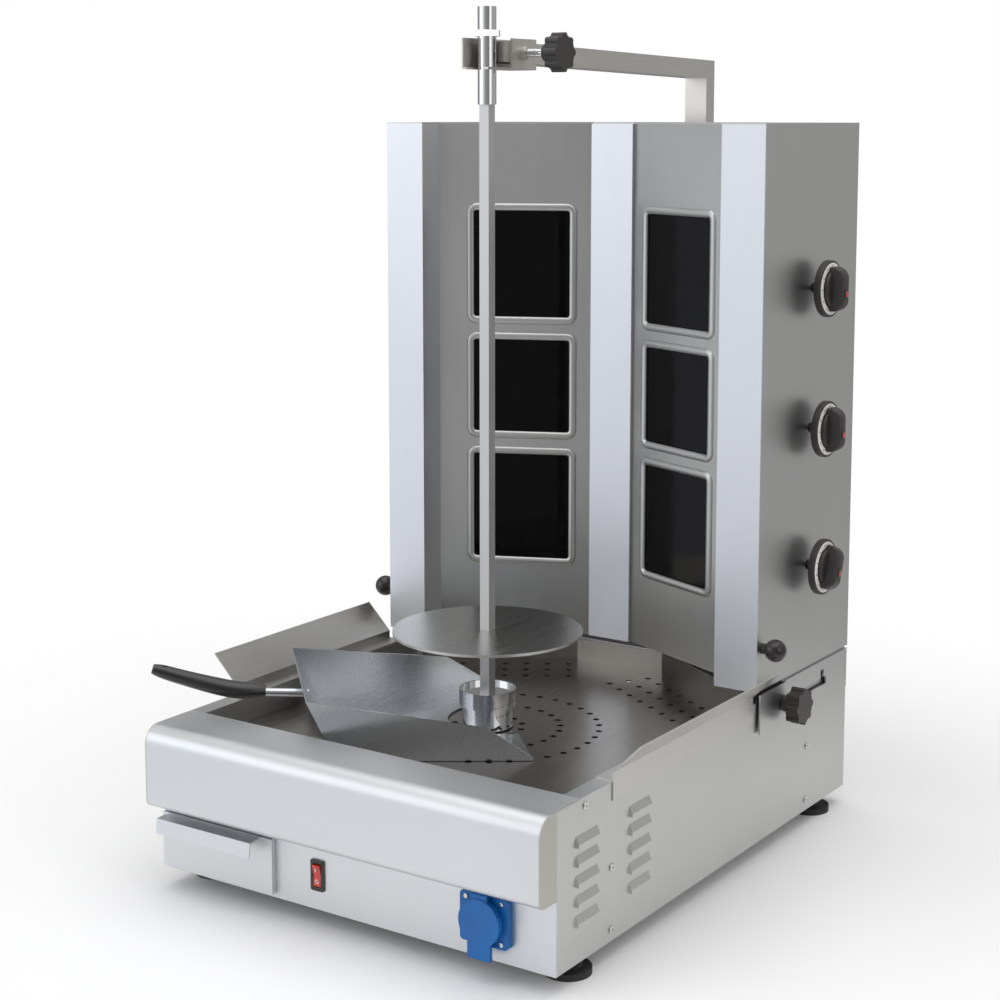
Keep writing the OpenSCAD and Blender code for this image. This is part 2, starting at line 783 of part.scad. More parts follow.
// Glass behind window number i, counted from the bottom
module glass(i) on_panel()
    translate([window_in + frame_w - glass_lap, frame_low_z[i] + frame_w - glass_lap, -sheet - glass_t])
        linear_extrude(glass_t)
            rounded(window_w + 2 * glass_lap, frame_high[i] - 2 * frame_w + 2 * glass_lap, 3);

module glass_left(i) color([0.02, 0.02, 0.025]) placed() mirror([1, 0, 0]) glass(i);
module glass_right(i) color([0.02, 0.02, 0.025]) placed() glass(i);

module glass_left_top() glass_left(2);
module glass_left_middle() glass_left(1);
module glass_left_bottom() glass_left(0);
module glass_right_top() glass_right(2);
module glass_right_middle() glass_right(1);
module glass_right_bottom() glass_right(0);

heater_t = 22;

module heater(i) on_panel()
    translate([window_in + frame_w, frame_low_z[i] + frame_w, -sheet - glass_t - heater_t - 6]) {
        w = window_w;
        h = frame_high[i] - 2 * frame_w;
        difference() {
            cube([w, h, heater_t]);
            translate([4, 4, 8]) cube([w - 8, h - 8, heater_t]);
        }
        for (k = [0 : 4]) translate([8, 10 + k * (h - 20) / 4, 11]) rotate([0, 90, 0])
            cylinder(d = 6.5, h = w - 16, $fn = 24);
    }

module heaters() color([0.8, 0.76, 0.7]) placed() both() for (i = [0 : 2]) heater(i);

module regulators() color([0.3, 0.3, 0.32]) placed() for (i = [0 : 2]) {
    difference() {
        span([tower_x - sheet - 40, knob_y - 22, knob_low_z + i * knob_step - 22],
            [tower_x - sheet, knob_y + 22, knob_low_z + i * knob_step + 22]);
        rod_x(tower_x - 20, tower_x, knob_y, knob_low_z + i * knob_step, 6 + 2 * running);
    }
}

hang_low = base_h - 36;
hang_top = base_h + 9;
slot_h = 9;

module slide_bracket() {
    x0 = tower_x + 0.1;
    difference() {
        span([x0, tower_front_y + 7, hang_low], [x0 + hang_t, tower_back_y - 6, hang_top]);
        span([x0 - e, clamp_y - slot_h / 2, clamp_z - slot_h / 2],
            [x0 + hang_t + e, clamp_y + tower_travel + slot_h + 44, clamp_z + slot_h / 2]);
        span([x0 - e, clamp_y + tower_travel + 38, clamp_z - slot_h / 2],
            [x0 + hang_t + e, clamp_y + tower_travel + 38 + slot_h, clamp_z + 14]);
    }
    span([tower_x - sheet - 2, tower_front_y + tower_travel + 10, hang_top],
        [x0 + hang_t, tower_back_y - 6, hang_top + 2]);
    span([tower_x - sheet - 2, tower_front_y + tower_travel + 10, hang_top + 2],
        [tower_x - sheet, tower_back_y - 6, tower_z]);
}

module slide_brackets() color(steel) placed() both() slide_bracket();

ball_y = tower_front_y + 12;
ball_z = tower_z + 48;

module ball_knobs() color(black) placed() both() {
    rod_x(tower_x, tower_x + 6, ball_y, ball_z, 12);
    translate([tower_x + 4 + ball_d / 2, ball_y, ball_z]) sphere(d = ball_d, $fn = 48);
}

// Control knob with its shaft, its pointer turned by a
module control_knob(i, a) translate([tower_x, knob_y, knob_low_z + i * knob_step]) rotate([a, 0, 0]) {
    rod_x(-18, knob_gap + 2, 0, 0, 6);
    rod_x(knob_gap - 6, knob_gap + 1, 0, 0, 20);
    rod_x(knob_gap, knob_gap + skirt_t, 0, 0, knob_d);
    rod_x(knob_gap + skirt_t - 1, knob_gap + skirt_t + 4, 0, 0, knob_d * 0.66);
    translate([knob_gap + skirt_t, 0, 0]) rotate([90, 0, 90]) linear_extrude(knob_reach - skirt_t)
        intersection() {
            circle(d = knob_d * 0.78);
            translate([-grip_w / 2, -knob_d / 2]) square([grip_w, knob_d]);
        }
}

module knob_bottom() color(black) placed() control_knob(0, -20);
module knob_middle() color(black) placed() control_knob(1, 0);
module knob_top() color(black) placed() control_knob(2, 0);

// ---------- scoop ----------

scoop_z = floor_z + 0.6;

module in_scoop() translate([scoop_at[0], scoop_at[1], scoop_z]) rotate(scoop_turn) children();

// Height of the side walls at a distance x from the back
function wall_h(x) = scoop_back_h + (scoop_front_h - scoop_back_h) * x / (scoop_l - scoop_cut);
// Half width of the floor at a distance x from the back
function half_w(x) = scoop_back + (scoop_front - scoop_back) * x / scoop_l;

side_turn = atan2(scoop_front - scoop_back, scoop_l);
side_len = norm([scoop_front - scoop_back, scoop_l]);

// The side wall starts on top of the floor sheet
module scoop_side() translate([0, scoop_back, 0]) rotate(side_turn) rotate([90, 0, 0])
    linear_extrude(scoop_t) polygon([
        [-scoop_lean, scoop_back_h], [0.4, scoop_t], [side_len, scoop_t], [side_len, scoop_t + 1.5],
        [side_len - scoop_cut, scoop_front_h]
    ]);

// Shank that carries the grip, up the back of the scoop
module scoop_shank() translate([-19, 0, 42]) rotate([0, -86, 0]) cylinder(d = 9, h = 58);

module scoop_blade() color(mirror_steel) placed() in_scoop() linear_extrude(scoop_t) difference() {
    polygon([[0, -scoop_back], [scoop_l, -scoop_front], [scoop_l, scoop_front], [0, scoop_back]]);
    translate([notch_at, 0]) circle(r = notch_r);
    translate([notch_at, -notch_r]) square([scoop_l, 2 * notch_r]);
}

module scoop_walls() color(mirror_steel) placed() in_scoop() {
    w = half_w(-scoop_lean);
    intersection() {
        rotate([90, 0, 0]) linear_extrude(2 * scoop_front, center = true) polygon([
            [0, scoop_t], [scoop_t, scoop_t], [scoop_t - scoop_lean, scoop_back_h],
            [-scoop_lean, scoop_back_h]
        ]);
        linear_extrude(scoop_back_h) polygon([
            [-scoop_lean, -w], [scoop_l, -scoop_front], [scoop_l, scoop_front], [-scoop_lean, w]
        ]);
    }
    scoop_side();
    mirror([0, 1, 0]) scoop_side();
    scoop_shank();
}

module scoop_handle() color(black) placed() in_scoop() difference() {
    grip = [[-72, 47, 15], [-92, 48, 19], [-120, 54, 19], [-182, 76, 16]];
    for (i = [0 : 2]) hull() {
        for (p = [grip[i], grip[i + 1]]) translate([p[0], 0, p[1]]) scale([1, 1.15, 1]) sphere(d = p[2], $fn = 28);
    }
    scoop_shank();
}

base_shell();
bottom_plate();
front_panel();
front_rim();
rim_ends();
top_deck();
perforated_plate();
fat_funnel();
guard_left();
guard_right();
feet();
casing_screws();
rocker_bezel();
socket_housing();
socket_insert();
drawer_runners();
drive_motor();
gearbox();
spit_bearing();
arm_bracket();
arm_post();
arm_beam();
spit_holder();
cable_gland();
terminal_box();
drawer_tray();
drawer_front();
power_rocker();
socket_lid();
drive_shaft();
spit_cup();
spit_bar();
meat_plate();
spit_sleeve();
tower_shell();
tower_top();
post_left();
post_right();
panel_left();
panel_right();
centre_post();
glass_left_top();
glass_left_middle();
glass_left_bottom();
glass_right_top();
glass_right_middle();
glass_right_bottom();
heaters();
regulators();
slide_brackets();
ball_knobs();
knob_top();
knob_middle();
knob_bottom();
clamp_knob_right();
clamp_knob_left();
arm_knob();
scoop_blade();
scoop_walls();
scoop_handle();
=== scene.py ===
"""Looks for the vertical rotisserie oven: finishes, small fittings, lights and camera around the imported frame."""
import json
import math

import bpy
from mathutils import Matrix, Vector


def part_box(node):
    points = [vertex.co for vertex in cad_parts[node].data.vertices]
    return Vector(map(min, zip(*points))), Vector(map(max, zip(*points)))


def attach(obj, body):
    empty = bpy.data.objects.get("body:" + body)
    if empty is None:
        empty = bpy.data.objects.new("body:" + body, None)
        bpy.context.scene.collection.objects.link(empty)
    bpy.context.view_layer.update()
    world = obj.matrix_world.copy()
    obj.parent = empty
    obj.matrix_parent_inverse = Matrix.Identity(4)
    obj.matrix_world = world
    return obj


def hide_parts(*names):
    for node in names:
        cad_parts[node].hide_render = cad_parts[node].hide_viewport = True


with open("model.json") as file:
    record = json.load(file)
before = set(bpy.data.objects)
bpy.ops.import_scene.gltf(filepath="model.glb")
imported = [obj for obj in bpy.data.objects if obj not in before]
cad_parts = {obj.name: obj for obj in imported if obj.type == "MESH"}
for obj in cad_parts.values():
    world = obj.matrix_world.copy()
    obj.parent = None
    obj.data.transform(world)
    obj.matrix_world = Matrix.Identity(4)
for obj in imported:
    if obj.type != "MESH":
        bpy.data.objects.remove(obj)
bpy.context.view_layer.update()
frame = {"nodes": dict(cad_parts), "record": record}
nodes = frame["nodes"]

MM = 0.001


# ---------- camera, floor and light ----------

CAMERA_AT = (1.192, -1.8441, 0.8292)
CAMERA_YAW = math.radians(34.046)
CAMERA_PITCH = math.radians(-7.446)
CAMERA_LENS = 70.58
CAMERA_SHIFT = -0.13


def make_camera():
    data = bpy.data.cameras.new("camera")
    data.lens = CAMERA_LENS
    data.sensor_width = 36
    data.shift_y = CAMERA_SHIFT
    camera = bpy.data.objects.new("camera", data)
    bpy.context.scene.collection.objects.link(camera)
    camera.location = CAMERA_AT
    camera.rotation_euler = (math.pi / 2 + CAMERA_PITCH, 0, CAMERA_YAW)
    bpy.context.scene.camera = camera


def node_of(tree, kind, **values):
    """A shader node with its properties and input defaults set."""
    made = tree.nodes.new(kind)
    for key, value in values.items():
        if key in made.inputs:
            made.inputs[key].default_value = value
        else:
            setattr(made, key, value)
    return made


def ramp_of(tree, source, stops):
    """A colour ramp fed by source, with stops as (place, grey or colour)."""
    ramp = tree.nodes.new("ShaderNodeValToRGB")
    elements = ramp.color_ramp.elements
    while len(elements) < len(stops):
        elements.new(0.5)
    for element, (place, value) in zip(elements, stops):
        colour = (value,) * 3 if isinstance(value, (int, float)) else value
        element.position = place
        element.color = (*colour[:3], 1)
    tree.links.new(source, ramp.inputs["Fac"])
    return ramp.outputs["Color"]


def facing(tree, direction, vector, stops):
    """Brightness by how far the sky direction lies towards a given direction."""
    dot = node_of(tree, "ShaderNodeVectorMath", operation="DOT_PRODUCT")
    dot.inputs[1].default_value = Vector(direction).normalized()
    tree.links.new(vector, dot.inputs[0])
    remap = node_of(tree, "ShaderNodeMapRange")
    remap.inputs["From Min"].default_value = -1
    tree.links.new(dot.outputs["Value"], remap.inputs["Value"])
    return ramp_of(tree, remap.outputs["Result"], stops)


def add_colours(tree, first, second):
    mix = node_of(tree, "ShaderNodeMix", data_type="RGBA", blend_type="ADD")
    mix.inputs["Factor"].default_value = 1
    tree.links.new(first, mix.inputs[6])
    tree.links.new(second, mix.inputs[7])
    return mix.outputs[2]


def make_world():
    """A grey studio with a broad cool panel at the front left and a softer one high behind."""
    world = bpy.data.worlds.new("studio")
    world.use_nodes = True
    bpy.context.scene.world = world
    tree = world.node_tree
    tree.nodes.clear()
    direction = tree.nodes.new("ShaderNodeTexCoord").outputs["Generated"]
    front = facing(tree, (-0.62, -0.78, 0.02), direction,
                   [(0.0, 0.08), (0.55, 0.12), (0.83, 0.24), (0.94, (0.7, 0.73, 0.79)), (1.0, (0.78, 0.81, 0.87))])
    side = facing(tree, (0.75, 0.6, 0.15), direction,
                  [(0.0, 0.0), (0.6, 0.03), (0.85, 0.2), (1.0, 0.3)])
    top = facing(tree, (0, 0.1, 1), direction,
                 [(0.0, 0.25), (0.45, 0.12), (0.55, 0.08), (0.8, 0.35), (1.0, 0.7)])
    light = add_colours(tree, add_colours(tree, front, side), top)
    studio = tree.nodes.new("ShaderNodeBackground")
    tree.links.new(light, studio.inputs["Color"])
    studio.inputs["Strength"].default_value = 1.0
    white = tree.nodes.new("ShaderNodeBackground")
    white.inputs["Color"].default_value = (1, 1, 1, 1)
    white.inputs["Strength"].default_value = 1.0
    pick = tree.nodes.new("ShaderNodeMixShader")
    path = tree.nodes.new("ShaderNodeLightPath")
    tree.links.new(path.outputs["Is Camera Ray"], pick.inputs["Fac"])
    tree.links.new(studio.outputs["Background"], pick.inputs[1])
    tree.links.new(white.outputs["Background"], pick.inputs[2])
    out = tree.nodes.new("ShaderNodeOutputWorld")
    tree.links.new(pick.outputs["Shader"], out.inputs["Surface"])


def make_softbox(name, place, target, size, power, colour=(1, 1, 1)):
    data = bpy.data.lights.new(name, "AREA")
    data.shape = "RECTANGLE"
    data.size, data.size_y = size
    data.energy = power
    data.color = colour
    lamp = bpy.data.objects.new(name, data)
    bpy.context.scene.collection.objects.link(lamp)
    lamp.location = place
    lamp.rotation_euler = (Vector(target) - Vector(place)).to_track_quat("-Z", "Y").to_euler()


def make_lights():
    middle = (0, 0, 0.45)
    make_softbox("key", (-2.3, -2.6, 1.6), middle, (2.6, 2.2), 16, (0.97, 0.985, 1))
    make_softbox("overhead", (0.1, -0.2, 3.0), (0, 0, 0), (3.4, 3.4), 40)
    make_softbox("right_fill", (3.2, -0.8, 1.5), middle, (1.6, 2.0), 10, (1, 0.99, 0.97))


def make_floor():
    """A pale floor that fades out away from the oven."""
    bpy.ops.mesh.primitive_circle_add(vertices=96, radius=6, fill_type="NGON")
    floor = bpy.context.object
    floor.name = "floor"
    finish = bpy.data.materials.new("pale_floor")
    finish.use_nodes = True
    tree = finish.node_tree
    shader = tree.nodes["Principled BSDF"]
    shader.inputs["Base Color"].default_value = (0.96, 0.96, 0.96, 1)
    shader.inputs["Roughness"].default_value = 0.7
    coords = tree.nodes.new("ShaderNodeTexCoord").outputs["Object"]
    length = node_of(tree, "ShaderNodeVectorMath", operation="LENGTH")
    tree.links.new(coords, length.inputs[0])
    remap = node_of(tree, "ShaderNodeMapRange")
    remap.inputs["From Min"].default_value = 0.55
    remap.inputs["From Max"].default_value = 1.1
    tree.links.new(length.outputs["Value"], remap.inputs["Value"])
    clear = tree.nodes.new("ShaderNodeBsdfTransparent")
    fade = tree.nodes.new("ShaderNodeMixShader")
    tree.links.new(remap.outputs["Result"], fade.inputs["Fac"])
    tree.links.new(shader.outputs["BSDF"], fade.inputs[1])
    tree.links.new(clear.outputs["BSDF"], fade.inputs[2])
    tree.links.new(fade.outputs["Shader"], tree.nodes["Material Output"].inputs["Surface"])
    floor.data.materials.append(finish)


# ---------- finishes ----------

def new_finish(name, colour, metallic, roughness, **sockets):
    finish = bpy.data.materials.new(name)
    finish.use_nodes = True
    shader = finish.node_tree.nodes["Principled BSDF"]
    shader.inputs["Base Color"].default_value = (*colour, 1)
    shader.inputs["Metallic"].default_value = metallic
    shader.inputs["Roughness"].default_value = roughness
    for key, value in sockets.items():
        shader.inputs[key.replace("_", " ")].default_value = value
    return finish, finish.node_tree, shader


def object_noise(tree, scale, detail=3.0, roughness=0.5):
    """Noise on object coordinates, stretched by scale, in features per metre."""
    coords = tree.nodes.new("ShaderNodeTexCoord").outputs["Object"]
    mapping = node_of(tree, "ShaderNodeMapping")
    mapping.inputs["Scale"].default_value = scale
    tree.links.new(coords, mapping.inputs["Vector"])
    noise = node_of(tree, "ShaderNodeTexNoise")
    noise.inputs["Scale"].default_value = 1
    noise.inputs["Detail"].default_value = detail
    noise.inputs["Roughness"].default_value = roughness
    tree.links.new(mapping.outputs["Vector"], noise.inputs["Vector"])
    return noise.outputs["Fac"]


def blend_colour(tree, factor, low, high):
    mix = node_of(tree, "ShaderNodeMix", data_type="RGBA")
    mix.inputs[6].default_value = (*low, 1)
    mix.inputs[7].default_value = (*high, 1)
    tree.links.new(factor, mix.inputs["Factor"])
    return mix.outputs[2]


def multiply(tree, first, second):
    mix = node_of(tree, "ShaderNodeMix", data_type="RGBA", blend_type="MULTIPLY")
    mix.inputs["Factor"].default_value = 1
    tree.links.new(first, mix.inputs[6])
    tree.links.new(second, mix.inputs[7])
    return mix.outputs[2]


def remapped(tree, value, low, high):
    remap = node_of(tree, "ShaderNodeMapRange")
    remap.inputs["From Min"].default_value = 0.3
    remap.inputs["From Max"].default_value = 0.7
    remap.inputs["To Min"].default_value = low
    remap.inputs["To Max"].default_value = high
    tree.links.new(value, remap.inputs["Value"])
    return remap.outputs["Result"]


def bumped(tree, shader, height, strength, distance):
    bump = node_of(tree, "ShaderNodeBump")
    bump.inputs["Strength"].default_value = strength
    bump.inputs["Distance"].default_value = distance
    tree.links.new(height, bump.inputs["Height"])
    tree.links.new(bump.outputs["Normal"], shader.inputs["Normal"])


def shade(colour, amount):
    return tuple(min(1.0, c * amount) for c in colour)


GRAIN = {"x": (8, 1600, 1600), "y": (1600, 8, 1600), "z": (1600, 1600, 8)}


def brushed_steel(name, colour, roughness, grain, streak=0.04, blotch=0.05, bump=0.06):
    """Sheet steel with fine brush lines along one axis, and slow clouding from handling."""
    finish, tree, shader = new_finish(name, colour, 1, roughness)
    lines = object_noise(tree, GRAIN[grain], detail=4, roughness=0.6)
    clouds = object_noise(tree, (5, 5, 5), detail=3)
    line_colour = blend_colour(tree, remapped(tree, lines, 0, 1), shade(colour, 1 - streak),
                               shade(colour, 1 + streak))
    cloud_colour = blend_colour(tree, remapped(tree, clouds, 0, 1), (1 - blotch,) * 3, (1, 1, 1))
    tree.links.new(multiply(tree, line_colour, cloud_colour), shader.inputs["Base Color"])
    tree.links.new(remapped(tree, lines, roughness - 0.05, roughness + 0.07), shader.inputs["Roughness"])
    bumped(tree, shader, lines, bump, 0.0003)
    return finish


def polished_steel(name, colour, roughness, smear=0.08):
    """Mirror-like sheet with faint smears and hairline scratches."""
    finish, tree, shader = new_finish(name, colour, 1, roughness)
    clouds = object_noise(tree, (9, 9, 9), detail=5, roughness=0.6)
    scratches = object_noise(tree, (60, 800, 800), detail=2)
    tree.links.new(remapped(tree, clouds, roughness * 0.6, roughness + smear), shader.inputs["Roughness"])
    tint = blend_colour(tree, remapped(tree, clouds, 0, 1), shade(colour, 0.93), colour)
    tree.links.new(tint, shader.inputs["Base Color"])
    bumped(tree, shader, scratches, 0.04, 0.0002)
    return finish


def moulded_plastic(name, colour, roughness, texture=0.15, coat=0.0):
    """Moulded plastic with a fine grain and slightly uneven gloss."""
    finish, tree, shader = new_finish(name, colour, 0, roughness, Coat_Weight=coat)
    grain = object_noise(tree, (1400, 1400, 1400), detail=2)
    clouds = object_noise(tree, (25, 25, 25), detail=3)
    tint = blend_colour(tree, remapped(tree, clouds, 0, 1), shade(colour, 0.85), shade(colour, 1.15))
    tree.links.new(tint, shader.inputs["Base Color"])
    tree.links.new(remapped(tree, clouds, roughness - 0.06, roughness + 0.08), shader.inputs["Roughness"])
    bumped(tree, shader, grain, texture, 0.0002)
    return finish


def dark_glass(name):
    """Smoked ceramic glass: almost black, with a clear gloss and faint dust."""
    finish, tree, shader = new_finish(name, (0.003, 0.003, 0.003), 0, 0.06, Specular_IOR_Level=0.14)
    dust = object_noise(tree, (40, 40, 40), detail=6, roughness=0.7)
    tree.links.new(remapped(tree, dust, 0.03, 0.14), shader.inputs["Roughness"])
    tint = blend_colour(tree, remapped(tree, dust, 0, 1), (0.001, 0.001, 0.001), (0.003, 0.003, 0.003))
    tree.links.new(tint, shader.inputs["Base Color"])
    return finish


def rusted_steel(name, colour, roughness):
    """Plain steel with brown bloom at the worn places."""
    finish, tree, shader = new_finish(name, colour, 1, roughness)
    bloom = object_noise(tree, (70, 70, 70), detail=6, roughness=0.65)
    spots = ramp_of(tree, bloom, [(0.6, 0.0), (0.8, 0.7)])
    tree.links.new(blend_colour(tree, spots, colour, (0.36, 0.2, 0.1)), shader.inputs["Base Color"])
    tree.links.new(remapped(tree, bloom, roughness, roughness + 0.3), shader.inputs["Roughness"])
    bumped(tree, shader, bloom, 0.1, 0.0004)
    return finish


def cast_metal(name, colour):
    finish, tree, shader = new_finish(name, colour, 0.9, 0.55)
    grain = object_noise(tree, (300, 300, 300), detail=4)
    tint = blend_colour(tree, remapped(tree, grain, 0, 1), shade(colour, 0.8), shade(colour, 1.2))
    tree.links.new(tint, shader.inputs["Base Color"])
    bumped(tree, shader, grain, 0.3, 0.0005)
    return finish


FINISHES = {
    "side": brushed_steel("brushed_side", (0.58, 0.58, 0.572), 0.36, "z", 0.03),
    # brushed_front: the casing steel made lighter and bluer, which is painted light and a painted cool reflection
    # from the front
    "front": brushed_steel("brushed_front", (0.69, 0.7, 0.715), 0.42, "x", 0.03, 0.03),
    # the casing steel made lighter and bluer, which is painted light and a painted cool reflection on the front
    # posts
    "post": brushed_steel("brushed_post_painted_light", (0.71, 0.72, 0.75), 0.42, "z", 0.03, 0.03),
    "rim_end": brushed_steel("satin_rim_end", (0.55, 0.545, 0.5), 0.5, "y", 0.03, 0.05),
    # darker and browner steel than the casing, with heavier clouding
    "tray": brushed_steel("dark_brown_tray", (0.4, 0.38, 0.355), 0.3, "y", 0.05, 0.16),
    # the casing steel made a little darker, which is painted shade on the angled V panels
    "panel": brushed_steel("brushed_panel_painted_shade", (0.54, 0.54, 0.525), 0.34, "z", 0.025, 0.08, 0.03),
    "guard": brushed_steel("brushed_guard", (0.6, 0.59, 0.56), 0.33, "y", 0.05, 0.08),
    "arm": brushed_steel("brushed_arm", (0.62, 0.6, 0.56), 0.36, "y", 0.06, 0.06),
    "bar": brushed_steel("drawn_bar", (0.62, 0.61, 0.6), 0.5, "z", 0.06, 0.08),
    "holder": rusted_steel("worn_holder", (0.6, 0.58, 0.54), 0.35),
    "bright": polished_steel("mirror_sheet", (0.68, 0.68, 0.67), 0.09),
    "plate": brushed_steel("turned_plate", (0.56, 0.56, 0.545), 0.3, "y", 0.04, 0.06),
    # steel with its colour lifted and cooled, which is a painted highlight on the scoop walls
    "scoop": brushed_steel("scoop_sheet_painted_light", (0.6, 0.62, 0.65), 0.24, "y", 0.04, 0.06),
    "chrome": polished_steel("chrome_plate", (0.72, 0.72, 0.73), 0.06, 0.03),
    "glass": dark_glass("smoked_glass"),
    "black": moulded_plastic("black_moulding", (0.032, 0.029, 0.027), 0.42),
    "gloss": moulded_plastic("glossy_black", (0.02, 0.018, 0.017), 0.16, 0.02),
    "grip": moulded_plastic("black_grip", (0.014, 0.014, 0.015), 0.3, 0.08, 0.3),
    "rubber": moulded_plastic("foot_rubber", (0.022, 0.022, 0.023), 0.75, 0.4),
    "red": moulded_plastic("red_rocker", (0.62, 0.02, 0.012), 0.25, 0.03, 0.5),
    "blue": moulded_plastic("blue_socket", (0.0, 0.12, 0.4), 0.45, 0.05),
    "pale": moulded_plastic("pale_moulding", (0.72, 0.71, 0.66), 0.45),
    "white": moulded_plastic("white_print", (0.85, 0.85, 0.83), 0.5, 0.02),
    "ceramic": moulded_plastic("heater_ceramic", (0.55, 0.5, 0.42), 0.8, 0.4),
    "cast": cast_metal("cast_grey", (0.3, 0.3, 0.31)),
}

FINISH_OF_SLOT = {
    # The casing's front slot takes the front finish, with its painted light
    "brushed_casing": "side", "brushed_front": "front", "rim_end": "rim_end", "tray_steel": "tray",
    # The V panels take the panel finish, with its painted shade
    "panel_steel": "panel", "guard_steel": "guard", "arm_steel": "arm", "foot_rubber": "rubber",
    "screw_steel": "bright", "black_plastic": "black", "red_plastic": "red", "blue_plastic": "blue",
    "pale_plastic": "pale", "cast_metal": "cast", "chrome": "chrome", "polished_steel": "bright",
    "bar_steel": "bar", "dark_glass": "glass", "ceramic": "ceramic", "dark_plastic": "black",
}
FINISH_OF_NODE = {
    # The posts take the post finish, with its painted light and painted cool reflection
    "post_left": "post", "post_right": "post", "centre_post": "post", "spit_holder": "holder",
    # The scoop blade and walls take the scoop finish, with its painted highlight
    "scoop_handle": "grip", "scoop_blade": "scoop", "scoop_walls": "scoop", "ball_knobs": "gloss",
    "meat_plate": "plate",
}


def dress_nodes():
    slot_of = {s["node"]: s["material_slot"] for s in frame["record"]["subparts"]}
    for name, obj in nodes.items():
        key = FINISH_OF_NODE.get(name, FINISH_OF_SLOT[slot_of[name]])
        obj.data.materials.clear()
        obj.data.materials.append(FINISHES[key])


# ---------- modelling helpers ----------

def deselect():
    bpy.ops.object.select_all(action="DESELECT")


def activate(obj):
    deselect()
    obj.select_set(True)
    bpy.context.view_layer.objects.active = obj


def in_edit(obj, work):
    """Runs work in edit mode with every vertex selected."""
    activate(obj)
    bpy.ops.object.mode_set(mode="EDIT")
    bpy.ops.mesh.select_all(action="SELECT")
    work()
    bpy.ops.object.mode_set(mode="OBJECT")


def settle(obj):
    """Puts the object's place, turn and size into its mesh."""
    activate(obj)
    bpy.ops.object.transform_apply(location=True, rotation=True, scale=True)


def apply_modifiers(obj):
    activate(obj)
    for modifier in list(obj.modifiers):
        bpy.ops.object.modifier_apply(modifier=modifier.name)


def bevelled(obj, width, segments=3, angle=30):
    modifier = obj.modifiers.new("edges", "BEVEL")
    modifier.width = width
    modifier.segments = segments
    modifier.limit_method = "ANGLE"
    modifier.angle_limit = math.radians(angle)
    apply_modifiers(obj)


def tidy_normals(obj):
    def work():
        bpy.ops.mesh.remove_doubles(threshold=1e-6)
        bpy.ops.mesh.normals_make_consistent(inside=False)
    in_edit(obj, work)


def join(parts):
    deselect()
    for part in parts:
        part.select_set(True)
    bpy.context.view_layer.objects.active = parts[0]
    if len(parts) > 1:
        bpy.ops.object.join()
    return parts[0]


def copy_of(obj):
    made = obj.copy()
    made.data = obj.data.copy()
    bpy.context.scene.collection.objects.link(made)
    return made


def cut_away(obj, cutter):
    """Takes the cutter's shape out of a piece, and the cutter out of the scene."""
    cut = obj.modifiers.new("cut", "BOOLEAN")
    cut.operation = "DIFFERENCE"
    cut.solver = "EXACT"
    cut.object = cutter
    apply_modifiers(obj)
    bpy.data.objects.remove(cutter)


def place(obj, matrix):
    obj.matrix_world = matrix
    settle(obj)


def complete(obj, name, body, finish, angle=35):
    """Names a finished piece, smooths it, gives it its finish and its body."""
    settle(obj)
    obj.name = name
    obj.data.name = name
    activate(obj)
    bpy.ops.object.shade_smooth_by_angle(angle=math.radians(angle))
    obj.data.materials.clear()
    obj.data.materials.append(FINISHES[finish])
    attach(obj, body)
    return obj


def add_rod(radius, length, centre=(0, 0, 0), sides=48, axis="z"):
    bpy.ops.mesh.primitive_cylinder_add(vertices=sides, radius=radius, depth=length)
    rod = bpy.context.object
    if axis == "x":
        rod.rotation_euler = (0, math.pi / 2, 0)
    settle(rod)
    rod.location = centre
    settle(rod)
    return rod


def add_block(low, high):
    bpy.ops.mesh.primitive_cube_add(size=1)
    block = bpy.context.object
    block.scale = [h - l for l, h in zip(low, high)]
    block.location = [(l + h) / 2 for l, h in zip(low, high)]
    settle(block)
    return block


def middle_of(node):
    low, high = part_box(node)
    return (low + high) / 2


# ---------- window frames ----------

FRAME_WIDTH = 8.4 * MM
FRAME_RISE = 2.8 * MM
GLASS_LAP = 7 * MM
GLASS_DEPTH = 3.5 * MM
GLASS_THICK = 4 * MM
CORNER = 7.7 * MM
# The centre post runs on behind the panels by this much
POST_TAIL = 8 * MM


def make_bead_profile():
    """A closed D shape: the rounded face of the pressed frame, with a flat back."""
    bpy.ops.mesh.primitive_circle_add(vertices=32, radius=FRAME_WIDTH / 2 + 0.4 * MM, fill_type="NOTHING")
    profile = bpy.context.object
    for vertex in profile.data.vertices:
        vertex.co.y = max(vertex.co.y * FRAME_RISE / (FRAME_WIDTH / 2), -0.3 * MM)
    in_edit(profile, lambda: bpy.ops.mesh.remove_doubles(threshold=1e-5))
    activate(profile)
    bpy.ops.object.convert(target="CURVE")
    return bpy.context.object


def make_bead(profile, width, height):
    """A rounded frame round a window, flat in XY with its face up."""
    bpy.ops.mesh.primitive_plane_add(size=1)
    path = bpy.context.object
    path.scale = (width, height, 1)
    settle(path)

    def work():
        bpy.ops.mesh.bevel(offset=CORNER, affect="VERTICES", segments=10)
        bpy.ops.mesh.delete(type="ONLY_FACE")
    in_edit(path, work)
    activate(path)
    bpy.ops.object.convert(target="CURVE")
    path = bpy.context.object
    path.data.dimensions = "2D"
    path.data.fill_mode = "NONE"
    path.data.bevel_mode = "OBJECT"
    path.data.bevel_object = profile
    activate(path)
    bpy.ops.object.convert(target="MESH")
    bead = bpy.context.object
    tidy_normals(bead)
    return bead


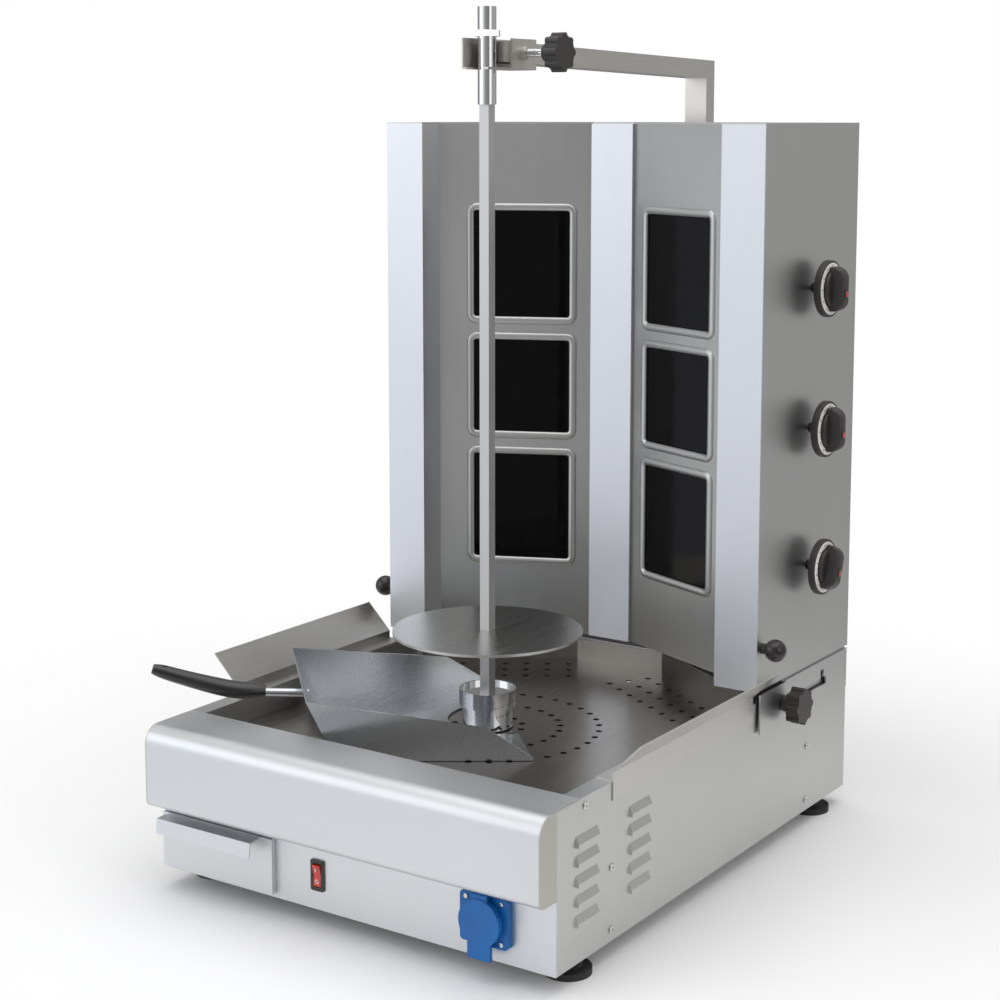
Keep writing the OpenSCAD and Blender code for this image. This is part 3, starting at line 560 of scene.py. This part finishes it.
def make_window_frames():
    post_low, post_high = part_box("post_right")
    centre_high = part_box("centre_post")[1]
    run = Vector((post_low.x - centre_high.x, centre_high.y - POST_TAIL - post_high.y))
    turn = math.atan2(run.y, run.x)
    profile = make_bead_profile()
    for side, sign in (("left", -1), ("right", 1)):
        for level in ("top", "middle", "bottom"):
            node = f"glass_{side}_{level}"
            low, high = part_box(node)
            glass_w = (high.x - low.x - GLASS_THICK * math.sin(turn)) / math.cos(turn)
            width = glass_w - 2 * GLASS_LAP + FRAME_WIDTH
            height = high.z - low.z - 2 * GLASS_LAP + FRAME_WIDTH
            towards_spit = Vector((-sign * math.sin(turn), -math.cos(turn), 0))
            centre = (low + high) / 2 + towards_spit * GLASS_DEPTH
            bead = make_bead(profile, width, height)
            upright = Matrix.Rotation(math.pi / 2, 4, "X")
            place(bead, Matrix.Translation(centre) @ Matrix.Rotation(-sign * turn, 4, "Z") @ upright)
            # The frames take the V panels' finish, painted shade included
            complete(bead, f"window_frame_{side}_{level}", "tower", "panel")
    bpy.data.objects.remove(profile)


# ---------- control knobs ----------

KNOB_REACH = 27 * MM
SKIRT_THICK = 8 * MM
GRIP_WIDTH = 18 * MM
GRIP_ROUND = 13 * MM
SCALE_MARKS = 11
KNOB_TURN = {"top": 0, "middle": 0, "bottom": math.radians(-20)}


def make_grip(length, top):
    """The bar of a knob: straight sides and a rounded outline, standing on Z."""
    bpy.ops.mesh.primitive_plane_add(size=1)
    grip = bpy.context.object
    grip.scale = (length, 2 * top, 1)
    grip.rotation_euler = (math.pi / 2, 0, 0)
    settle(grip)

    def work():
        bpy.ops.mesh.bevel(offset=GRIP_ROUND, affect="VERTICES", segments=12)
        bpy.ops.mesh.extrude_region_move(TRANSFORM_OT_translate={"value": (0, GRIP_WIDTH, 0)})
        bpy.ops.mesh.select_all(action="SELECT")
        bpy.ops.mesh.bisect(plane_co=(0, 0, SKIRT_THICK - 1 * MM), plane_no=(0, 0, 1), clear_inner=True,
                            use_fill=True)
    in_edit(grip, work)
    grip.location = (0, -GRIP_WIDTH / 2, 0)
    settle(grip)
    tidy_normals(grip)
    bevelled(grip, 3 * MM, 4, 40)
    return grip


def make_knob(level):
    """A moulded control knob with its printed scale and red mark, in place of the plain one."""
    node = f"knob_{level}"
    body = f"{level}_control"
    low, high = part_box(node)
    radius = (high.z - low.z) / 2
    place_at = Matrix.Translation((high.x - KNOB_REACH, (low.y + high.y) / 2, (low.z + high.z) / 2)) \
        @ Matrix.Rotation(KNOB_TURN[level], 4, "X") @ Matrix.Rotation(math.pi / 2, 4, "Y")

    skirt = add_rod(radius, SKIRT_THICK, (0, 0, SKIRT_THICK / 2), 72)
    bevelled(skirt, 1.4 * MM)
    hub = add_rod(radius * 0.66, 6 * MM, (0, 0, SKIRT_THICK + 1.5 * MM), 64)
    bevelled(hub, 2.4 * MM)
    rise = add_block((-2 * MM, -4.5 * MM, KNOB_REACH - 5 * MM), (10 * MM, 4.5 * MM, KNOB_REACH - 0.3 * MM))
    bevelled(rise, 1 * MM)
    shaft = add_rod(3 * MM, KNOB_REACH, (0, 0, -KNOB_REACH / 2 + 1 * MM), 24)
    knob = join([skirt, hub, make_grip(radius * 1.56, KNOB_REACH - 1.6 * MM), rise, shaft])
    place(knob, place_at)
    complete(knob, f"moulded_{node}", body, "black")
    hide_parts(node)

    bpy.ops.mesh.primitive_torus_add(major_radius=radius * 0.8, minor_radius=radius * 0.11, major_segments=72,
                                     minor_segments=12)
    ring = bpy.context.object
    ring.scale = (1, 1, 0.1)
    ring.location = (0, 0, SKIRT_THICK)
    settle(ring)
    place(ring, place_at)
    complete(ring, f"dial_{level}", body, "white")

    marks = []
    for i in range(SCALE_MARKS):
        mark = add_block((radius * 0.76, -0.4 * MM, SKIRT_THICK), (radius * 0.85, 0.4 * MM, SKIRT_THICK + 0.5 * MM))
        mark.rotation_euler = (0, 0, math.radians(30 + 30 * i))
        settle(mark)
        marks.append(mark)
    scale = join(marks)
    place(scale, place_at)
    complete(scale, f"scale_{level}", body, "black")

    tip = add_block((2 * MM, -2.6 * MM, KNOB_REACH - 3 * MM), (8.5 * MM, 2.6 * MM, KNOB_REACH))
    bevelled(tip, 0.5 * MM)
    place(tip, place_at)
    complete(tip, f"red_mark_{level}", body, "red")


# ---------- scoop handle ----------

SCOOP_AT = (-141 * MM, -214.5 * MM, 155.6 * MM)
SCOOP_TURN = math.radians(44)
# Along the grip from the shank, in millimetres: distance back, height, radius
GRIP_LINE = (
    (-66, 46.5, 6.6), (-78, 47.2, 9.2), (-100, 49.5, 9.5), (-124, 56, 9.3), (-152, 65, 8.2), (-182, 75.6, 7.4),
    (-187, 77.4, 5),
)
HANG_HOLE_R = 3.2 * MM
HANG_HOLE_AT = (-174 * MM, 0, 73 * MM)


def make_scoop_handle():
    """A moulded grip that swells towards the shank, with a hole to hang it by."""
    bpy.ops.curve.primitive_nurbs_path_add()
    path = bpy.context.object
    spline = path.data.splines[0]
    spline.points.add(len(GRIP_LINE) - len(spline.points))
    for point, (x, z, radius) in zip(spline.points, GRIP_LINE):
        point.co = (x * MM, 0, z * MM, 1)
        point.radius = radius * MM
    spline.use_endpoint_u = True
    spline.order_u = 3
    path.data.bevel_depth = 1
    path.data.bevel_resolution = 8
    path.data.resolution_u = 16
    path.data.use_fill_caps = True
    activate(path)
    bpy.ops.object.convert(target="MESH")
    handle = bpy.context.object
    handle.scale = (1, 1.12, 1)
    settle(handle)
    tidy_normals(handle)
    cut_away(handle, add_rod(HANG_HOLE_R, 40 * MM, HANG_HOLE_AT, 32))
    bevelled(handle, 0.8 * MM, 3, 50)
    place(handle, Matrix.Translation(SCOOP_AT) @ Matrix.Rotation(SCOOP_TURN, 4, "Z"))
    complete(handle, "moulded_scoop_handle", "scoop", "grip")
    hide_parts("scoop_handle")


# ---------- clamp screw on the arm ----------

SCREW_TIP = 5 * MM
STAR_DEPTH = 26 * MM
THREAD_TURNS = 9
THREAD_PITCH = 1.25 * MM


def make_clamp_screw():
    """The bright threaded rod of the arm knob, seen between the knob and its nut."""
    low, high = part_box("arm_knob")
    centre = (low + high) / 2
    start = low.x + SCREW_TIP
    end = high.x - STAR_DEPTH
    parts = [add_rod(4.15 * MM, end - start, ((start + end) / 2, centre.y, centre.z), 32, "x")]
    for i in range(THREAD_TURNS):
        bpy.ops.mesh.primitive_torus_add(major_radius=4.2 * MM, minor_radius=0.35 * MM, major_segments=32,
                                         minor_segments=8, rotation=(0, math.pi / 2, 0),
                                         location=(start + 2 * MM + i * THREAD_PITCH, centre.y, centre.z))
        settle(bpy.context.object)
        parts.append(bpy.context.object)
    complete(join(parts), "arm_clamp_screw", "arm_clamp", "chrome")


# ---------- rocker marks and screws ----------

def make_rocker_marks():
    """A bar and a ring, the usual on and off marks, on the face of the rocker."""
    low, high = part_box("power_rocker")
    x = (low.x + high.x) / 2
    mid = (low.z + high.z) / 2
    bar = add_block((x - 0.5 * MM, low.y - 0.1 * MM, mid + 4.5 * MM),
                    (x + 0.5 * MM, low.y + 1.2 * MM, mid + 8.5 * MM))
    bevelled(bar, 0.2 * MM, 2)
    bpy.ops.mesh.primitive_torus_add(major_radius=2 * MM, minor_radius=0.4 * MM, major_segments=32, minor_segments=8)
    ring = bpy.context.object
    ring.rotation_euler = (math.pi / 2, 0, 0)
    ring.location = (x, low.y + 2.6 * MM, mid - 6.5 * MM)
    settle(ring)
    marks = join([bar, ring])
    complete(marks, "rocker_marks", "rocker", "white")


def make_screw():
    """A domed screw head with a cross recess, facing +Z."""
    head = add_rod(4 * MM, 1.6 * MM, (0, 0, 0.8 * MM), 32)
    bevelled(head, 0.9 * MM, 4)
    for length, width in ((2.2, 0.4), (0.4, 2.2)):
        cut_away(head, add_block((-length * MM, -width * MM, 0.9 * MM), (length * MM, width * MM, 3 * MM)))
    return head


# Distance behind the spit and height, in millimetres
SIDE_SCREWS = ((-200, 174), (-150, 96), (-150, 32), (293, 98), (293, 33))
SPIT_Y = -104.5 * MM


def make_screws():
    pattern = make_screw()
    side_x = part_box("base_shell")[1].x - 3.5 * MM
    heads = []
    for sign in (-1, 1):
        for y, z in SIDE_SCREWS:
            head = copy_of(pattern)
            turn = Matrix.Rotation(sign * math.pi / 2, 4, "Y") @ Matrix.Rotation(y * 0.7, 4, "Z")
            place(head, Matrix.Translation((sign * side_x, SPIT_Y + y * MM, z * MM)) @ turn)
            heads.append(head)
    socket_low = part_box("casing_screws")[0]
    socket = middle_of("socket_housing")
    for x, z in ((-20.5, 20), (20.5, 20), (20.5, -20)):
        head = copy_of(pattern)
        head.scale = (0.62, 0.62, 0.8)
        settle(head)
        place(head, Matrix.Translation((socket.x + x * MM, socket_low.y + 1.6 * MM, socket.z + z * MM))
              @ Matrix.Rotation(math.pi / 2, 4, "X"))
        heads.append(head)
    bpy.data.objects.remove(pattern)
    screws = join(heads)
    complete(screws, "screw_heads", "base", "bright")
    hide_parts("casing_screws")


make_camera()
make_world()
make_lights()
make_floor()
dress_nodes()
make_window_frames()
for level in ("top", "middle", "bottom"):
    make_knob(level)
make_scoop_handle()
make_clamp_screw()
make_rocker_marks()
make_screws()

bpy.context.scene.view_settings.view_transform = "Standard"
